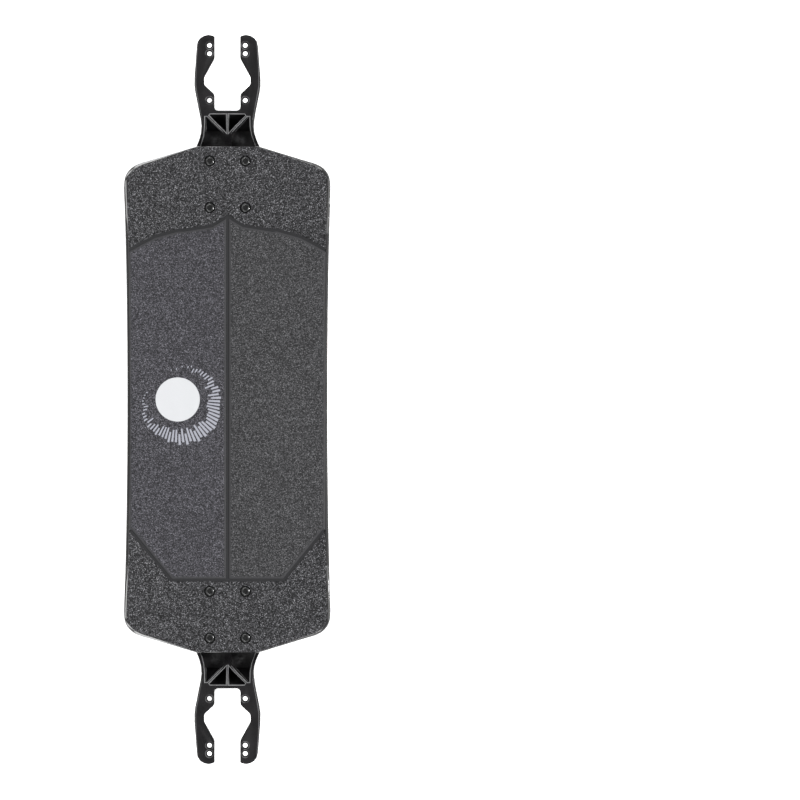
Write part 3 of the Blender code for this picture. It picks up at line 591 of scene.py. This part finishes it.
for end in ("front", "rear"):
    node = end + "_bracket"
    bracket = copy_of(node, end + "_fork_bracket")
    pick(bracket, "FACE", everything)
    in_edit(bracket, bpy.ops.mesh.dissolve_limited, angle_limit=math.radians(0.8))
    bracket.data.attributes.new("pale", "FLOAT", "FACE")
    # The rounded rib tops and prong edges are painted pale as highlights.
    for kind, (width, paleness) in enumerate(((RIB_ROUND, RIB_HIGHLIGHT), (TOP_ROUND, TOP_HIGHLIGHT))):
        rims = top_rims(bracket)[kind]
        pick(bracket, "EDGE", lambda edge: edge.index in rims)
        in_edit(bracket, bpy.ops.mesh.bevel, offset=width, segments=ROUND_STEPS, affect="EDGES",
                clamp_overlap=False)
        for face, tone in zip(bracket.data.polygons, bracket.data.attributes["pale"].data):
            if face.select:
                tone.value = paleness
            # Faces below are painted paler, as painted light.
            elif face.normal.z < -0.5:
                tone.value = UNDERSIDE_LIGHT_LOW if abs(face.center.z) < 1 * MM else UNDERSIDE_LIGHT_HIGH
    add_modifier(bracket, "BEVEL", width=CAST_EDGE, segments=2, limit_method="ANGLE",
                 angle_limit=math.radians(35))
    dressed(bracket, cast, "bracket_alloy", node, sharp=38)


# The fasteners: four socket screws through each bracket, each with a washer in its counterbore and a
# domed barrel nut let into the top of the deck. All turned and pressed from steel.

black_oxide, point = new_finish("black_oxide_steel", Base_Color=(0.011, 0.011, 0.0115, 1.0),
                                Metallic=0.0, Specular_IOR_Level=0.5)
wire(black_oxide, Roughness=point.noise(2 * MM, detail=3.0).between(0.3, 0.7, 0.16, 0.22))
zinc, point = new_finish("zinc_plate", Metallic=1.0)
spangle = point.noise(1.5 * MM, detail=3.0)
wire(zinc, Base_Color=spangle.mix((0.15, 0.15, 0.155), (0.29, 0.29, 0.30)),
     Roughness=spangle.between(0.3, 0.7, 0.25, 0.4))
TURNED_STEPS = 48
SOCKET_CORNER = 1 / math.cos(math.pi / 6)
# Radii and heights of the turned pieces, all in mm
BORE = 3.3
TIP = [(0, 22.0), (2.4, 22.0), (3.0, 21.4)]
CAP_HEAD = [(3.0, 7.7), (5.0, 7.7), (5.0, 2.1), (4.6, 1.7), (0, 1.7)]
BUTTON_HEAD = [(3.0, 8.6), (4.6, 8.6), (4.75, 8.4), (4.75, 7.7), (4.5, 6.9), (4.0, 6.1), (3.3, 5.6),
               (2.4, 5.3), (0, 5.3)]
WASHER_EDGE = 0.1
NUT_CROWN, NUT_RADIUS = 25.7, 6.2
DOME_RADIUS, DOME_STEPS = 10.6, 12
DOME_RUN = [NUT_RADIUS * k / DOME_STEPS for k in range(DOME_STEPS + 1)]
NUT_DOME = [(run, NUT_CROWN - DOME_RADIUS + math.sqrt(DOME_RADIUS ** 2 - run ** 2)) for run in DOME_RUN]
NUT_SHANK = [(NUT_RADIUS, 23.6), (4.3, 23.6), (4.3, 16.1), (4.0, 15.8), (BORE, 15.8), (BORE, 22.6),
             (0, 22.6)]
# Height of the face, width across flats and depth of each hexagon socket, in mm
CAP_SOCKET, BUTTON_SOCKET, NUT_SOCKET = (1.7, 5.0, 3.0), (5.3, 4.0, 1.9), (NUT_CROWN, 5.64, 2.81)


def turned(name, profile, x, y):
    """Spin a (radius, height) profile in mm about the upright line through (x, y)."""
    mesh = bpy.data.meshes.new(name)
    points = [(x + radius * MM, y, height * MM) for radius, height in profile]
    mesh.from_pydata(points, [(k, k + 1) for k in range(len(points) - 1)], [])
    piece = bpy.data.objects.new(name, mesh)
    bpy.context.scene.collection.objects.link(piece)
    pick(piece, "EDGE", everything)
    in_edit(piece, bpy.ops.mesh.spin, steps=TURNED_STEPS, angle=2 * math.pi, center=(x, y, 0),
            axis=(0, 0, 1))
    pick(piece, "VERT", everything)
    in_edit(piece, bpy.ops.mesh.remove_doubles, threshold=0.00001)
    pick(piece, "FACE", everything)
    in_edit(piece, bpy.ops.mesh.normals_make_consistent, inside=False)
    return piece


def washer(radius, low, high):
    """The profile of a flat ring whose outer edges are broken."""
    return [(BORE, low), (radius - WASHER_EDGE, low), (radius, low + WASHER_EDGE),
            (radius, high - WASHER_EDGE), (radius - WASHER_EDGE, high), (BORE, high), (BORE, low)]


def cut_socket(piece, x, y, face, across, depth):
    """Sink a flat-bottomed hexagon socket into a head. Only x and y are in metres."""
    only(piece)
    bpy.ops.mesh.primitive_cylinder_add(vertices=6, radius=across / 2 * SOCKET_CORNER * MM,
                                        depth=2 * depth * MM, location=(x, y, face * MM))
    key = bpy.context.object
    add_modifier(piece, "BOOLEAN", operation="DIFFERENCE", object=key, solver="EXACT")
    bpy.data.objects.remove(key)


for end, sy in (("front", 1), ("rear", -1)):
    for side, sx in (("left", -1), ("right", 1)):
        where = f"{end}_{side}_"
        for kind, bolt_y in (("main", MAIN_BOLT_Y), ("lug", LUG_BOLT_Y)):
            x, y = sx * BOLT_X, sy * bolt_y
            if kind == "main":
                screw = turned(where + "cap_screw", TIP + CAP_HEAD, x, y)
                cut_socket(screw, x, y, *CAP_SOCKET)
                dressed(screw, black_oxide, "black_steel", where + "main_bolt")
                ring = turned(where + "plate_washer", washer(6.5, 8.0, 9.2), x, y)
            else:
                screw = turned(where + "button_screw", TIP + BUTTON_HEAD, x, y)
                cut_socket(screw, x, y, *BUTTON_SOCKET)
                dressed(screw, zinc, "zinc_steel", where + "lug_screw")
                ring = turned(where + "leg_washer", washer(6.0, 8.9, 9.9), x, y)
            dressed(ring, black_oxide, "black_steel", where + kind + "_washer")
            nut = turned(where + kind + "_barrel_nut", NUT_DOME + NUT_SHANK, x, y)
            cut_socket(nut, x, y, *NUT_SOCKET)
            dressed(nut, black_oxide, "black_steel", where + kind + "_nut")


# The studio: a plain pale floor under a pale sky that is darker overhead, where the camera hangs. Long
# softboxes near both left corners and along the right side light the edge band, and a lamp the nuts.

SKY_OVERHEAD, SKY_AROUND = 0.35, 1.15
DARK_WITHIN, PALE_BEYOND = math.cos(math.radians(32)), math.cos(math.radians(50))
FLOOR_GLOW = 0.6
# Name, place, size and aim of the softboxes at the front, in metres. The rear has their mirror images.
END_SOFTBOXES = (
    ("left", (-0.57, 0.17, 1.0), (0.30, 0.12), (-0.117, 0.23, 0.03)),
    ("corner", (-0.35, 0.80, 1.0), (1.0, 0.20), (-0.11, 0.262, 0.03)),
    ("near", (-0.09, 0.74, 0.32), (0.12, 0.36), (-0.08, 0.277, 0.03)),
)
FRONT_GLARE, REAR_GLARE, RIGHT_GLARE, LAMP_GLARE = 5.5, 6.0, 1.3, 95.0
EYE = (0.1994, -0.0006, 5.165)

bpy.ops.mesh.primitive_plane_add(size=30)
floor = bpy.context.object
floor.name = "studio_floor"
paper, point = new_finish("pale_paper", Roughness=0.9, Specular_IOR_Level=0.0,
                          Emission_Color=(1.0, 1.0, 1.0, 1.0), Emission_Strength=FLOOR_GLOW)
wire(paper, Base_Color=point.noise(0.4, detail=2.0).mix((0.90, 0.90, 0.90), (0.92, 0.92, 0.92)))
floor.data.materials.append(paper)

world = bpy.data.worlds.new("pale_sky")
bpy.context.scene.world = world
world.use_nodes = True
upward = Signal(world.node_tree.nodes.new("ShaderNodeTexCoord").outputs["Generated"]).part("Z")
brightness = upward.between(PALE_BEYOND, DARK_WITHIN, SKY_AROUND, SKY_OVERHEAD)
background = world.node_tree.nodes["Background"]
background.inputs["Color"].default_value = (1.0, 1.0, 1.0, 1.0)
world.node_tree.links.new(brightness.socket, background.inputs["Strength"])


def softbox(name, place, size, radiance, aim):
    """A rectangular light of that radiance whose long side lies across the line to its aim."""
    light = bpy.data.lights.new(name, "AREA")
    light.shape = "RECTANGLE"
    light.size, light.size_y = size
    light.energy = radiance * math.pi * size[0] * size[1]
    box = bpy.data.objects.new(name, light)
    box.location = place
    box.rotation_euler = (Vector(aim) - Vector(place)).to_track_quat("-Z", "Y").to_euler()
    box.visible_camera = False
    bpy.context.scene.collection.objects.link(box)


for end, sy, glare in (("front", 1, FRONT_GLARE), ("rear", -1, REAR_GLARE)):
    for name, place, size, aim in END_SOFTBOXES:
        softbox(f"{end}_{name}_softbox", (place[0], sy * place[1], place[2]), size, glare,
                (aim[0], sy * aim[1], aim[2]))
softbox("right_softbox", (0.60, 0.0, 1.0), (0.9, 0.26), RIGHT_GLARE, (0.11, 0.0, 0.03))
softbox("right_lamp", (0.90, 0.0, 0.80), (0.20, 0.20), LAMP_GLARE, (0.02, 0.0, 0.03))

camera = bpy.data.cameras.new("overhead_camera")
camera.lens = 200
camera.sensor_width = 36
eye = bpy.data.objects.new("overhead_camera", camera)
eye.location = EYE
bpy.context.scene.collection.objects.link(eye)
bpy.context.scene.camera = eye
bpy.context.scene.view_settings.view_transform = "Standard"
